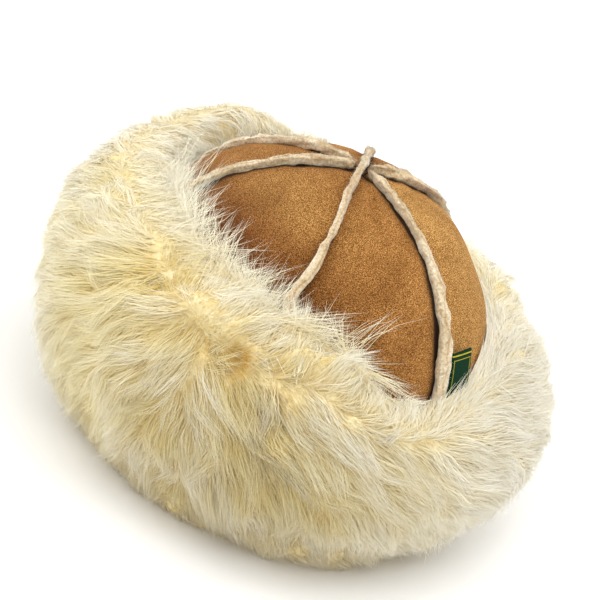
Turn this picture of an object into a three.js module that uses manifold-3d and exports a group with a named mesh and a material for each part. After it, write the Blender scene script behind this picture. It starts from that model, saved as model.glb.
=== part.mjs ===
// A sheepskin hat: six suede gores with raw wool edges at their seams, and a turned-up cuff of long fleece.
// Millimetres, +Z up, standing on its fleece. The wearer faces -Y and the label sits at the back seam, on +Y.

import * as THREE from "three";
import { mergeVertices } from "three/addons/utils/BufferGeometryUtils.js";
import Module from "manifold-3d";

const wasm = await Module();
wasm.setup();

// Crown, measured over the suede
const crownLength = 219; // front to back at its widest level
const crownBreadth = 181; // side to side at that level
const widestLevel = 74; // that level above the surface the hat stands on
const domeHeight = 99; // from that level up to the apex
const domeFullness = 0.92; // 1 is an ellipse, and less is fuller towards the top
const apexBack = 13; // the soft crown leans back by this much
const apexSide = 4.5; // and towards the wearer's right by this much
const rimLevel = 17; // the gores' lower edge
const rimDraw = 5; // the wall draws in by this much from its widest level to the rim
const hide = 3; // suede with the wool clipped short behind it
const gorePuff = 2.2; // a gore swells between its seams
const goreGap = 0.6; // between two gores, under the seam
const apexHole = 2.8; // radius where the points of the gores stop

// Raised seams: two raw edges turned out and sewn together
const seamWidth = 5.4;
const seamHeight = 4.4;
const seamLift = 0.5; // clearance between a seam and the gores under it
const seamFoot = 0.55; // the foot of a seam, as a share of its width
const seamEnd = 1.5; // a seam stops this far above the rim
const shortStart = 5.5; // a short seam starts this far from the apex, clear of the long one
const shortPoint = 0.6; // and this much narrower there, clear of its neighbours
const seamSpaceStart = 0.4; // the level from which the cuff is kept clear of a seam

// Cuff: long fleece on its own hide, sewn on at the rim and turned up
const cuffHeight = 140; // at the front, where it stands highest
const fleeceReach = 37; // how far it stands out beyond the crown at its widest
const cuffClearance = 0.4; // to everything that it lies round
const lockWidth = 44;
const lockDepth = 15;
const wispWidth = 30; // of the locks that run up over the suede
const wispDepth = 9;
const wispLie = 3.2; // their tips lie this far off the suede

// Woven label, folded double and caught in the back seam
const labelWidth = 20;
const labelLength = 34;
const labelThickness = 1.2;
const labelFoot = 85; // its lower end, in the fleece
const labelLift = 0.5;

// Where the seams run down the crown, in degrees from the wearer's left side (+X) round to the back (+Y).
// The long seam joins two halves of three gores each, so it runs on over the apex.
const seams = [
  { name: "seam_long_left", at: 38, long: true },
  { name: "seam_back", at: 97, long: false },
  { name: "seam_right_back", at: 174, long: false },
  { name: "seam_long_right", at: 221, long: true },
  { name: "seam_front", at: 287, long: false },
  { name: "seam_left_front", at: 330, long: false },
];

// A seam's swelling from the apex (0) to the rim (1), as shares of its width and height
const seamForm = [
  { along: 0, width: 1.1, height: 1.0 },
  { along: 0.12, width: 0.92, height: 0.95 },
  { along: 0.3, width: 0.85, height: 0.9 },
  { along: 0.42, width: 1.3, height: 1.05 },
  { along: 0.55, width: 1.2, height: 1.05 },
  { along: 0.75, width: 0.95, height: 0.9 },
  { along: 1, width: 0.85, height: 0.7 },
];

// The cuff round the head: its height and reach as shares of cuffHeight and fleeceReach, and the height on
// the suede that its wisps run up to, as a share of cuffHeight
const cuffRound = [
  { at: 0, height: 0.93, reach: 0.93, wisp: 1.0 },
  { at: 45, height: 0.85, reach: 0.93, wisp: 0.98 },
  { at: 90, height: 0.7, reach: 0.98, wisp: 0.74 },
  { at: 135, height: 0.72, reach: 1.12, wisp: 0.75 },
  { at: 180, height: 0.79, reach: 1.14, wisp: 0.84 },
  { at: 225, height: 0.9, reach: 1.02, wisp: 0.96 },
  { at: 270, height: 1.01, reach: 1.02, wisp: 1.05 },
  { at: 315, height: 0.99, reach: 0.94, wisp: 1.04 },
];

// The cuff's section from its foot over the crest: out from the crown's widest line as a share of the reach,
// up as a share of the cuff's height there
const cuffSection = [
  { out: -0.02, up: 0 },
  { out: 0.24, up: 0.08 },
  { out: 0.56, up: 0.22 },
  { out: 0.85, up: 0.4 },
  { out: 1.0, up: 0.58 },
  { out: 0.96, up: 0.73 },
  { out: 0.8, up: 0.87 },
  { out: 0.5, up: 0.96 },
  { out: 0.15, up: 1.0 },
  { out: -0.2, up: 0.97 },
  { out: -0.6, up: 0.84 },
];

// Rows of locks: how many go round, the section rows that they grow from and end at, how far their tips lift
const lockRows = [
  { count: 17, from: 2.1, to: 0.25, lift: 1 },
  { count: 18, from: 3.8, to: 1.5, lift: 4.5 },
  { count: 19, from: 5.2, to: 3.0, lift: 7 },
  { count: 18, from: 4.7, to: 7.2, lift: 7 },
];
const lockSway = 0.12; // radians that a tip strays round the head
const lockShuffle = 0.2; // of the spacing that a root strays round it
const lockRagged = 0.3; // section rows that a tip strays up or down
const wispCount = 17;
const wispFrom = 6.6; // the section rows that the wisps grow from and bend over at
const wispBend = 8.2;
const wispRagged = 0.05; // of cuffHeight that a wisp's tip strays up or down

// A lock from its root to its tip: width as a share of its own, and how deep its middle lies in the fleece
const lockForm = [
  { along: 0, width: 0.5, sink: 0.6 },
  { along: 0.3, width: 1, sink: 0.32 },
  { along: 0.68, width: 0.72, sink: 0.1 },
  { along: 1, width: 0.12, sink: 0 },
];

const radians = THREE.MathUtils.degToRad;
const turn = 2 * Math.PI;

// The angles that each gore lies between
const goreSpans = seams.map(({ at }, i) => {
  const next = seams[(i + 1) % seams.length].at;
  return [radians(at), radians(next < at ? next + 360 : next)];
});

// A repeatable offset between -1 and 1 for lock number n
const stray = (n, salt) => Math.sin(n * 12.9898 + salt * 78.233);

// The value of a table's column at a place between its rows, eased from row to row
function between(rows, key, place, column) {
  let i = rows.findIndex((row) => row[key] > place) - 1;
  if (i < 0) i = place < rows[0][key] ? 0 : rows.length - 2;
  const a = rows[i];
  const b = rows[i + 1];
  const share = THREE.MathUtils.clamp((place - a[key]) / (b[key] - a[key]), 0, 1);
  return THREE.MathUtils.lerp(a[column], b[column], share * share * (3 - 2 * share));
}

// A column of cuffRound at an angle in radians, closing on itself
function round(angle, column) {
  const degrees = THREE.MathUtils.euclideanModulo(THREE.MathUtils.radToDeg(angle), 360);
  return between([...cuffRound, { ...cuffRound[0], at: 360 }], "at", degrees, column);
}

// A closed geometry through rings of equally many points. An open loft gets caps zipped across its end rings.
function loft(rings, closed = false) {
  const count = rings[0].length;
  const index = [];
  const joins = closed ? rings.length : rings.length - 1;
  for (let r = 0; r < joins; r++)
    for (let i = 0; i < count; i++) {
      const a = r * count + i;
      const b = r * count + ((i + 1) % count);
      const c = ((r + 1) % rings.length) * count + ((i + 1) % count);
      const d = ((r + 1) % rings.length) * count + i;
      index.push(a, b, c, a, c, d);
    }
  const zip = (start, reversed) => {
    for (let i = 0, j = count - 1; j - i > 1; ) {
      const triangle = (i + (count - 1 - j)) % 2 ? [i, j - 1, j] : [i, i + 1, j];
      if ((i + (count - 1 - j)) % 2) j--;
      else i++;
      if (reversed) triangle.reverse();
      index.push(...triangle.map((k) => start + k));
    }
  };
  if (!closed) {
    zip(0, true);
    zip((rings.length - 1) * count, false);
  }
  const geometry = new THREE.BufferGeometry().setFromPoints(rings.flat());
  geometry.setIndex(index);
  return volumeOf(geometry) < 0 ? geometry.setIndex(index.reverse()) : geometry;
}

function volumeOf(geometry) {
  const position = geometry.getAttribute("position");
  const corner = [0, 1, 2].map(() => new THREE.Vector3());
  let sum = 0;
  for (let i = 0; i < geometry.index.count; i += 3) {
    corner.forEach((v, k) => v.fromBufferAttribute(position, geometry.index.getX(i + k)));
    sum += corner[0].dot(corner[1].clone().cross(corner[2]));
  }
  return sum / 6;
}

// To and from the solids that booleans work on
function solid(geometry) {
  const bare = new THREE.BufferGeometry();
  bare.setAttribute("position", geometry.getAttribute("position"));
  bare.setIndex(geometry.index);
  const merged = mergeVertices(bare, 1e-4);
  return new wasm.Manifold(
    new wasm.Mesh({
      numProp: 3,
      vertProperties: new Float32Array(merged.getAttribute("position").array),
      triVerts: new Uint32Array(merged.index.array),
    }),
  );
}

function geometryOf(made) {
  const { vertProperties, triVerts } = made.getMesh();
  const geometry = new THREE.BufferGeometry();
  geometry.setAttribute("position", new THREE.BufferAttribute(vertProperties, 3));
  geometry.setIndex(new THREE.BufferAttribute(triVerts, 1));
  return geometry;
}

// The crown's surface at an angle and a level: 0 at the apex, 1 at the widest level and 2 at the rim
function crownPoint(angle, level, offset = 0) {
  const tilt = (Math.min(level, 1) * Math.PI) / 2;
  const down = Math.max(level - 1, 0);
  const out = Math.sin(tilt);
  const up = Math.cos(tilt) ** domeFullness;
  const draw = rimDraw * down * down;
  return new THREE.Vector3(
    (crownBreadth / 2 + offset - draw) * out * Math.cos(angle) - apexSide * up,
    (crownLength / 2 + offset - draw) * out * Math.sin(angle) + apexBack * up,
    widestLevel + (domeHeight + offset) * up - (widestLevel - rimLevel) * down,
  );
}

// The level of a height above the surface that the hat stands on
function levelOf(height) {
  const share = (height - widestLevel) / domeHeight;
  if (share < 0) return 1 + (widestLevel - height) / (widestLevel - rimLevel);
  return (2 / Math.PI) * Math.acos(share ** (1 / domeFullness));
}

// The level at which the crown reaches a distance along its seam from the apex
function levelAt(angle, distance) {
  const steps = 400;
  let gone = 0;
  let last = crownPoint(angle, 0);
  for (let i = 1; i <= steps; i++) {
    const next = crownPoint(angle, (2 * i) / steps);
    gone += next.distanceTo(last);
    if (gone >= distance) return (2 * i) / steps;
    last = next;
  }
  return 2;
}

// Crown: a gore is a slab between two seams, from near the apex to the rim
const goreShares = [0, 0.12, 0.24, 0.38, 0.52, 0.66, 0.8, 0.92, 1.05, 1.35, 1.7, 2];
const goreAcross = 6;
const goreStart = levelAt(0, apexHole);
const goreLevels = goreShares.map((share) => goreStart + (share * (2 - goreStart)) / 2);

// One row of points across a gore
function goreRow(from, to, level, offset) {
  const width = crownPoint(from, level).distanceTo(crownPoint(from, 0).setZ(crownPoint(from, level).z));
  const inset = goreGap / 2 / width;
  return Array.from({ length: goreAcross + 1 }, (_, i) => {
    const across = i / goreAcross;
    const swell = gorePuff * Math.sin(Math.PI * across) ** 0.8 * Math.sin((Math.PI * level) / 2.4);
    return crownPoint(THREE.MathUtils.lerp(from + inset, to - inset, across), level, swell + offset);
  });
}

function gore(from, to) {
  const outer = goreLevels.map((level) => goreRow(from, to, level, 0));
  const inner = goreLevels.map((level) => goreRow(from, to, level, -hide));
  return loft(outer.map((row, i) => [...row, ...inner[i].reverse()]));
}

// An outline of [across, lift] points, set square to a seam's run at a level of the crown
function setOnCrown(angle, level, outline) {
  const at = crownPoint(angle, level);
  const step = 0.01;
  const ahead = crownPoint(angle, level + step).sub(crownPoint(angle, level - step)).normalize();
  const normal = crownPoint(angle, level, 1).sub(at);
  normal.addScaledVector(ahead, -normal.dot(ahead)).normalize();
  const side = new THREE.Vector3().crossVectors(ahead, normal);
  return outline.map(([across, lift]) =>
    at.clone().addScaledVector(side, across).addScaledVector(normal, lift),
  );
}

// Seams: a rounded welt that follows the crown, its rings at the gores' own levels
const weltSides = 6;

function welt(along, narrow) {
  const width = narrow * seamWidth * between(seamForm, "along", along, "width");
  const height = seamHeight * between(seamForm, "along", along, "height");
  return Array.from({ length: weltSides }, (_, i) => {
    const a = ((i + 0.5) * turn) / weltSides;
    const foot = Math.sin(a) < 0 && Math.abs(Math.cos(a)) < 0.1 ? 0 : Math.sin(a) < 0 ? seamFoot : 1;
    return [(foot * width * Math.cos(a)) / 2, seamLift + height / 2 + (height * Math.sin(a)) / 2];
  });
}

function weltRings(angle, start, point = 1) {
  const stop = 2 - seamEnd / (widestLevel - rimLevel);
  const levels = [start, ...goreLevels.filter((level) => level > start + 0.05 && level < stop), stop];
  return levels.map((level, i) =>
    setOnCrown(angle, level, welt((level - start) / (stop - start), i ? 1 : point)),
  );
}

const shortSeam = (angle) => loft(weltRings(angle, levelAt(angle, shortStart), shortPoint));

function longSeam(left, right) {
  const start = levelAt(left, seamWidth / 2);
  // The far half is turned round, so that each ring meets the next one point for point.
  const far = weltRings(right, start)
    .reverse()
    .map((ring) => ring.map((_, i) => ring[(2 * weltSides - 1 - i - weltSides / 2) % weltSides]));
  return loft([...far, ...weltRings(left, start)]);
}

// The room that the cuff leaves for a seam
function seamSpace(angle) {
  const half = (seamWidth * Math.max(...seamForm.map((row) => row.width))) / 2 + cuffClearance;
  const top = seamLift + seamHeight * Math.max(...seamForm.map((row) => row.height)) + cuffClearance;
  const outline = [
    [-half, -hide],
    [half, -hide],
    [half * 0.8, top],
    [-half * 0.8, top],
  ];
  const levels = goreLevels.filter((level) => level > seamSpaceStart);
  return loft(levels.map((level) => setOnCrown(angle, level, outline)));
}

// Label: a thin doubled tab lying on the gore beside the back seam
function label(grown = 0) {
  const back = radians(seams[1].at);
  const rows = 5;
  const rings = Array.from({ length: rows }, (_, i) => {
    const level = levelOf(labelFoot - grown + ((labelLength + 2 * grown) * i) / (rows - 1));
    const point = (across, lift) => {
      const angle = back + (seamWidth * 0.75 + across) / (crownLength / 2);
      return crownPoint(angle, level, gorePuff + labelLift + lift);
    };
    const near = -grown;
    const far = labelWidth + grown;
    const middle = labelWidth / 2;
    const under = -grown;
    const over = labelThickness + grown;
    return [
      ...[near, middle, far].map((across) => point(across, over)),
      ...[far, middle, near].map((across) => point(across, under)),
    ];
  });
  return loft(rings);
}

// Cuff: a point on the fleece's outer form, at an angle and a row of cuffSection or between two rows
function cuffPoint(angle, row) {
  const i = THREE.MathUtils.clamp(Math.floor(row), 0, cuffSection.length - 2);
  const share = row - i;
  const out = THREE.MathUtils.lerp(cuffSection[i].out, cuffSection[i + 1].out, share);
  const up = THREE.MathUtils.lerp(cuffSection[i].up, cuffSection[i + 1].up, share);
  const beyond = out * fleeceReach * round(angle, "reach");
  return new THREE.Vector3(
    (crownBreadth / 2 + beyond) * Math.cos(angle),
    (crownLength / 2 + beyond) * Math.sin(angle),
    up * cuffHeight * round(angle, "height"),
  );
}

const cuffStations = 36;

function cuffBody() {
  const lip = rimDraw + hide;
  const rings = Array.from({ length: cuffStations }, (_, s) => {
    const angle = (s * turn) / cuffStations;
    const outer = cuffSection.map((_, row) => cuffPoint(angle, row));
    const inner = [outer[outer.length - 1].z, 0].map(
      (z) =>
        new THREE.Vector3(
          (crownBreadth / 2 - lip) * Math.cos(angle),
          (crownLength / 2 - lip) * Math.sin(angle),
          z,
        ),
    );
    // The top row dips inside the crown, which is cut away afterwards.
    return [...outer, ...inner];
  });
  return loft(rings, true);
}

// A lock: a flattened, tapering horn bent along a curve
const lockSides = 4;

function lock(curve, width, depth) {
  const rings = lockForm.map(({ along, width: share, sink }) => {
    const ahead = curve.getTangent(along);
    const out = curve.v0.clone().setZ(0).normalize();
    const side = new THREE.Vector3().crossVectors(ahead, out).normalize();
    const normal = new THREE.Vector3().crossVectors(side, ahead).normalize();
    const centre = curve.getPoint(along).addScaledVector(normal, -sink * depth);
    return Array.from({ length: lockSides }, (_, i) => {
      const a = ((i + 0.5) * turn) / lockSides;
      return centre
        .clone()
        .addScaledVector(side, share * width * Math.cos(a) * Math.SQRT1_2)
        .addScaledVector(normal, share * depth * Math.sin(a) * Math.SQRT1_2);
    });
  });
  return loft(rings);
}

// The way out of the fleece at a place on the cuff
function cuffNormal(angle, row) {
  const step = 0.05;
  const round = cuffPoint(angle + step, row).sub(cuffPoint(angle - step, row));
  const along = cuffPoint(angle, row + step).sub(cuffPoint(angle, row - step));
  return round.cross(along).normalize();
}

function cuffLocks() {
  const made = [];
  const spread = (count, shift, build) => {
    for (let i = 0; i < count; i++) {
      const n = made.length;
      made.push(solid(build(((i + shift + lockShuffle * stray(n, 3)) * turn) / count, n)));
    }
  };
  lockRows.forEach(({ count, from, to, lift }, r) =>
    spread(count, 0.5 * (r % 2), (angle, n) => {
      const end = to + lockRagged * stray(n, 2);
      const sway = angle + lockSway * stray(n, 1);
      const middle = (from + end) / 2;
      const curve = new THREE.QuadraticBezierCurve3(
        cuffPoint(angle, from),
        cuffPoint(angle, middle).addScaledVector(cuffNormal(angle, middle), lift / 2),
        cuffPoint(sway, end).addScaledVector(cuffNormal(sway, end), lift * (1 + lockRagged * stray(n, 4))),
      );
      return lock(curve, lockWidth, lockDepth);
    }),
  );
  spread(wispCount, 0.25, (angle, n) => {
    const sway = angle + lockSway * stray(n, 1);
    const level = levelOf(cuffHeight * (round(sway, "wisp") + wispRagged * stray(n, 2)));
    const curve = new THREE.QuadraticBezierCurve3(
      cuffPoint(angle, wispFrom),
      cuffPoint(angle, wispBend).addScaledVector(cuffNormal(angle, wispBend), wispLie),
      crownPoint(sway, level, gorePuff + wispLie),
    );
    return lock(curve, wispWidth, wispDepth);
  });
  return made;
}

// What the cuff is cut clear of: the crown with its hollow, the seams and the label
function crownSpace() {
  const rings = goreLevels.map((level) =>
    goreSpans.flatMap(([from, to]) => goreRow(from, to, level, cuffClearance)),
  );
  const foot = rings[rings.length - 1].map((point) => point.clone().setZ(rimLevel - cuffClearance));
  return loft([...rings.slice(0, -1), foot]);
}

function cuff() {
  const wide = 3 * crownLength;
  const belowFloor = new THREE.BoxGeometry(wide, wide, cuffHeight).translate(0, 0, -cuffHeight / 2);
  const joined = cuffLocks().reduce((made, one) => made.add(one), solid(cuffBody()));
  const seamSpaces = seams.map(({ at }) => seamSpace(radians(at)));
  const cleared = [belowFloor, crownSpace(), ...seamSpaces, label(cuffClearance)];
  return geometryOf(cleared.reduce((made, space) => made.subtract(solid(space)), joined));
}

// Assembly
const suede = new THREE.MeshStandardMaterial({ color: 0xb9834a, roughness: 0.95, metalness: 0 });
const rawEdge = new THREE.MeshStandardMaterial({ color: 0xd9c3a0, roughness: 0.95, metalness: 0 });
const fleece = new THREE.MeshStandardMaterial({ color: 0xe9dcba, roughness: 0.9, metalness: 0 });
const greenTape = new THREE.MeshStandardMaterial({ color: 0x1e4a33, roughness: 0.7, metalness: 0 });

const hat = new THREE.Group();

function piece(name, geometry, material) {
  const mesh = new THREE.Mesh(geometry, material);
  mesh.name = name;
  hat.add(mesh);
}

goreSpans.forEach(([from, to], i) => piece(`crown_gore_${i + 1}`, gore(from, to), suede));
const longSeams = seams.filter((seam) => seam.long);
piece("seam_long", longSeam(radians(longSeams[0].at), radians(longSeams[1].at)), rawEdge);
for (const { name, at, long } of seams) if (!long) piece(name, shortSeam(radians(at)), rawEdge);
piece("fleece_cuff", cuff(), fleece);
piece("label", label(), greenTape);

// The origin lies under the middle of the hat
const middle = new THREE.Box3().setFromObject(hat).getCenter(new THREE.Vector3());
hat.position.set(-middle.x, -middle.y, 0);

export default hat;
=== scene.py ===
import math

import bpy
import numpy as np
from mathutils import Matrix, Vector


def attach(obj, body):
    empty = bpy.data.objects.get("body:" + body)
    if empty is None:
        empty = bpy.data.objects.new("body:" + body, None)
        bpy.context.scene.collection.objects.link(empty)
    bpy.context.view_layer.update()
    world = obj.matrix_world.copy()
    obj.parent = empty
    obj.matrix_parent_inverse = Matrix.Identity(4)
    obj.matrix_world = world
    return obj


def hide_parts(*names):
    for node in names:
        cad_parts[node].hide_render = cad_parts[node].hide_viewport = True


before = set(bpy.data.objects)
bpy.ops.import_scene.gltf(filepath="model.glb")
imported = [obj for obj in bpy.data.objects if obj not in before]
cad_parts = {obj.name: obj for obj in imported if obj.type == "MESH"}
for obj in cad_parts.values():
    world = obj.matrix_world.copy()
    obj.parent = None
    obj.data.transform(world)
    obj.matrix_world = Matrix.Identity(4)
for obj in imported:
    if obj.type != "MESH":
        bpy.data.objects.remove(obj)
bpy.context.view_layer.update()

# Camera: at the wearer's left and behind, looking down on the crown. It is held with a tilt, so that the
# crown leans to the right in the picture.
crown_middle = Vector((0.00186, 0.00224, 0.0))
widest_level = 0.074
camera_bearing = math.radians(49.6)
camera_elevation = math.radians(26.74)
camera_roll = math.radians(17.24)
camera_distance = 1.2
camera_slide = (0.0051, 0.0118)  # right and up in the picture

away = Vector(
    (
        math.cos(camera_elevation) * math.cos(camera_bearing),
        math.cos(camera_elevation) * math.sin(camera_bearing),
        math.sin(camera_elevation),
    )
)
level_right = Vector((-math.sin(camera_bearing), math.cos(camera_bearing), 0))
level_up = away.cross(level_right)
picture_right = math.cos(camera_roll) * level_right + math.sin(camera_roll) * level_up
picture_up = math.cos(camera_roll) * level_up - math.sin(camera_roll) * level_right

camera_data = bpy.data.cameras.new("camera")
camera_data.lens = 136
camera_data.sensor_width = 36
camera_data.clip_end = 50
camera = bpy.data.objects.new("camera", camera_data)
camera.matrix_world = Matrix.Translation(
    crown_middle
    + Vector((0, 0, widest_level))
    + camera_distance * away
    + camera_slide[0] * picture_right
    + camera_slide[1] * picture_up
) @ Matrix((picture_right, picture_up, away)).transposed().to_4x4()
bpy.context.scene.collection.objects.link(camera)
bpy.context.scene.camera = camera

# Floor: a plain white surface. Light: a bright even studio with a white surround. Broad lamps stand above, to
# the right and to the left of the camera, and a weak one beside it.
def plain_material(name, colour, roughness):
    material = bpy.data.materials.new(name)
    material.use_nodes = True
    shader = material.node_tree.nodes["Principled BSDF"]
    shader.inputs["Base Color"].default_value = (*colour, 1)
    shader.inputs["Roughness"].default_value = roughness
    return material


bpy.ops.object.select_all(action="DESELECT")
bpy.ops.mesh.primitive_plane_add(size=12)
floor = bpy.context.object
floor.name = "floor"
floor.data.materials.append(plain_material("white_floor", (0.92, 0.92, 0.915), 0.9))


def broad_lamp(name, bearing, elevation, distance, size, power):
    """A square lamp that looks at the hat: angles in degrees, metres and watts."""
    lamp = bpy.data.lights.new(name, "AREA")
    lamp.size = size
    lamp.energy = power
    holder = bpy.data.objects.new(name, lamp)
    towards = Vector(
        (
            math.cos(math.radians(elevation)) * math.cos(math.radians(bearing)),
            math.cos(math.radians(elevation)) * math.sin(math.radians(bearing)),
            math.sin(math.radians(elevation)),
        )
    )
    holder.location = Vector((0, 0, 0.08)) + distance * towards
    holder.rotation_euler = towards.to_track_quat("Z", "Y").to_euler()
    bpy.context.scene.collection.objects.link(holder)


broad_lamp("lamp_above", 75, 70, 1.6, 1.3, 13.5)
broad_lamp("lamp_right", 165, 34, 1.7, 1.2, 9.5)
broad_lamp("lamp_left", -50, 30, 1.8, 1.3, 15)
broad_lamp("lamp_front", 20, 55, 1.8, 1.3, 3)
world = bpy.data.worlds.new("studio")
world.use_nodes = True
world.node_tree.nodes["Background"].inputs["Color"].default_value = (1, 1, 1, 1)
world.node_tree.nodes["Background"].inputs["Strength"].default_value = 0.7
bpy.context.scene.world = world
bpy.context.scene.view_settings.view_transform = "Standard"

# Crown gores: six pieces of tan suede, the flesh side of the sheepskin with a short matt nap. They are sewn
# edge to edge with the raw edges outwards, so each one swells between its seams and dips beside them.
crown_length = 0.219
crown_breadth = 0.181
dome_height = 0.099
dome_fullness = 0.92
apex_back = 0.013
apex_side = 0.0045
rim_level = 0.017
rim_draw = 0.005
round_wall = 0.1  # the crown's radius, taken as even where an angle is turned into a length
seam_bearings = np.radians([38, 97, 174, 221, 287, 330])


def drift(points, size, seed):
    """A smooth random field from about -1 to 1, with hills of that size in metres."""
    draw = np.random.default_rng(seed)
    waves = draw.normal(size=(14, 3))
    waves *= (2 * math.pi / size) * draw.uniform(0.5, 1.3, (14, 1)) / np.linalg.norm(waves, axis=1)[:, None]
    phases = draw.uniform(0, 2 * math.pi, 14)
    return np.sin(points @ waves.T + phases).sum(axis=-1) / math.sqrt(14)


# The cuff's height and reach round the head, since the painted shade on the suede lies just above it. A row
# has the bearing in degrees, and the height and the reach as shares of cuff_height and fleece_reach.
cuff_height = 0.14
fleece_reach = 0.037
cuff_round = np.array(
    [
        (0, 0.93, 0.93),
        (45, 0.85, 0.93),
        (90, 0.7, 0.98),
        (135, 0.72, 1.12),
        (180, 0.79, 1.14),
        (225, 0.9, 1.02),
        (270, 1.01, 1.02),
        (315, 0.99, 0.94),
        (360, 0.93, 0.93),
    ]
)


def read_round(bearing, table, column):
    """A column of a table by bearing, eased from row to row."""
    degrees = np.degrees(bearing) % 360
    row = np.clip(np.searchsorted(table[:, 0], degrees, side="right") - 1, 0, len(table) - 2)
    share = (degrees - table[row, 0]) / (table[row + 1, 0] - table[row, 0])
    share = share * share * (3 - 2 * share)
    return table[row, column] * (1 - share) + table[row + 1, column] * share


def ease(share):
    share = np.clip(share, 0, 1)
    return share * share * (3 - 2 * share)


def hill(value, middle, width):
    """1 at the middle, fading to 0 on both sides."""
    return np.exp(-(((value - middle) / width) ** 2))


def from_left(bearing):
    """The bearing in degrees from -180 to 180, where 0 is the wearer's left and 90 the back."""
    return (np.degrees(bearing) + 180) % 360 - 180


def crown_point(bearing, height, off=0.0):
    """The crown's surface at a bearing and a height; off is level, outwards."""
    up = np.clip((height - widest_level) / dome_height, 0, 1)
    out = np.sqrt(np.clip(1 - up ** (2 / dome_fullness), 0, 1))
    down = np.clip((widest_level - height) / (widest_level - rim_level), 0, 1)
    draw = rim_draw * down**2
    x = crown_middle.x + ((crown_breadth / 2 - draw) * out + off) * np.cos(bearing) - apex_side * up
    y = crown_middle.y + ((crown_length / 2 - draw) * out + off) * np.sin(bearing) + apex_back * up
    return np.stack(np.broadcast_arrays(x, y, height), axis=-1)


def crown_place(points):
    """Each point's bearing round the crown's axis, how far out it lies as a share of the wall, and how far
    out the wall is there as a share of its widest."""
    up = np.clip((points[..., 2] - widest_level) / dome_height, 0, 0.999)
    out = np.sqrt(np.clip(1 - up ** (2 / dome_fullness), 1e-4, 1))
    x = (points[..., 0] - crown_middle.x + apex_side * up) / (crown_breadth / 2 * out)
    y = (points[..., 1] - crown_middle.y - apex_back * up) / (crown_length / 2 * out)
    return np.arctan2(y, x), np.hypot(x, y), out


def unit(vectors):
    return vectors / np.maximum(np.linalg.norm(vectors, axis=-1), 1e-9)[..., None]


def crown_gauge(points):
    """How far out each point lies as a share of the crown's own size, the middle it is measured from, and the
    way out of the crown there."""
    up = np.clip((points[..., 2] - widest_level) / dome_height, 0, None)
    level = np.minimum(points[..., 2], widest_level)
    middle = np.stack([crown_middle.x - apex_side * up, crown_middle.y + apex_back * up, level], axis=-1)
    span = points - middle
    flat = (span[..., 0] / (crown_breadth / 2)) ** 2 + (span[..., 1] / (crown_length / 2)) ** 2
    way_out = unit(span / np.array([crown_breadth / 2, crown_length / 2, dome_height]) ** 2)
    return np.sqrt(flat + up ** (2 / dome_fullness)), middle, way_out


def off_crown(points, clearance):
    """Moves points that lie in the crown, or too near it, out along the line from its middle."""
    size, middle, _ = crown_gauge(points)
    grow = np.maximum((1 + clearance / round_wall) / np.maximum(size, 0.2), 1)
    return middle + (points - middle) * grow[..., None]


# the long seam and the right back one bend as they come down: height in metres, and degrees of bearing
long_seam_bend = np.array([(0.1, 3.2), (0.116, 2.4), (0.131, -0.6), (0.147, 2.4), (0.162, 3.2), (0.173, 0)])
right_seam_bend = np.array([(0.1, 4), (0.15, 4.5), (0.158, 2), (0.166, -4), (0.171, -6), (0.173, 0)])
bend_spread = 0.4  # radians to each side, over which the skin is drawn along


def bent(points):
    """The crown's points, turned about its axis beside the two bent seams."""
    bearing, _, _ = crown_place(points)
    angle = np.zeros(len(points))
    for seam, bend in ((0, long_seam_bend), (2, right_seam_bend)):
        off = (bearing - seam_bearings[seam] + math.pi) % (2 * math.pi) - math.pi
        angle += np.radians(np.interp(points[:, 2], bend[:, 0], bend[:, 1])) * hill(off, 0, bend_spread)
    up = np.clip((points[:, 2] - widest_level) / dome_height, 0, 1)
    middle = np.stack([crown_middle.x - apex_side * up, crown_middle.y + apex_back * up, 0 * up], axis=1)
    x, y, level = (points - middle).T
    turned_x = x * np.cos(angle) - y * np.sin(angle)
    turned_y = x * np.sin(angle) + y * np.cos(angle)
    return middle + np.stack([turned_x, turned_y, level], axis=1)


def seam_distance(points, seam):
    """Distance in metres round the crown from a seam, positive towards greater bearings."""
    bearing, _, out = crown_place(points)
    turn = (bearing - seam_bearings[seam] + math.pi) % (2 * math.pi) - math.pi
    return turn * round_wall * out


def read_points(mesh):
    flat = np.empty(3 * len(mesh.vertices))
    mesh.vertices.foreach_get("co", flat)
    return flat.reshape(-1, 3)


def write_points(mesh, points):
    mesh.vertices.foreach_set("co", np.ascontiguousarray(points, dtype=float).ravel())
    mesh.update()


def read_normals(mesh):
    flat = np.empty(3 * len(mesh.vertices))
    mesh.vertex_normals.foreach_get("vector", flat)
    return flat.reshape(-1, 3)


def mark(mesh, name, values):
    mesh.attributes.new(name, "FLOAT", "POINT").data.foreach_set("value", np.asarray(values, dtype=float))


def softened(node, name, levels, crease):
    """A copy of a CAD node with its faces joined to quads and rounded by subdivision."""
    piece = bpy.data.objects.new(name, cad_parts[node].data.copy())
    bpy.context.scene.collection.objects.link(piece)
    bpy.ops.object.select_all(action="DESELECT")
    bpy.context.view_layer.objects.active = piece
    piece.select_set(True)
    bpy.ops.object.mode_set(mode="EDIT")
    bpy.ops.mesh.select_mode(type="EDGE")
    bpy.ops.mesh.select_all(action="SELECT")
    bpy.ops.mesh.remove_doubles(threshold=0.00002)
    bpy.ops.mesh.tris_convert_to_quads()
    bpy.ops.mesh.select_all(action="DESELECT")
    if crease:
        bpy.ops.mesh.edges_select_sharp(sharpness=math.radians(50))
        bpy.ops.transform.edge_crease(value=crease)
    bpy.ops.object.mode_set(mode="OBJECT")
    round_off = piece.modifiers.new("round_off", "SUBSURF")
    round_off.levels = levels
    round_off.render_levels = levels
    bpy.ops.object.modifier_apply(modifier="round_off")
    bpy.ops.object.shade_smooth()
    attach(piece, "root")
    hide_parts(node)
    return piece


def add_node(tree, kind, **values):
    node = tree.nodes.new(kind)
    for key, value in values.items():
        if key in node.inputs:
            node.inputs[key].default_value = value
        else:
            setattr(node, key, value)
    return node


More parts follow.
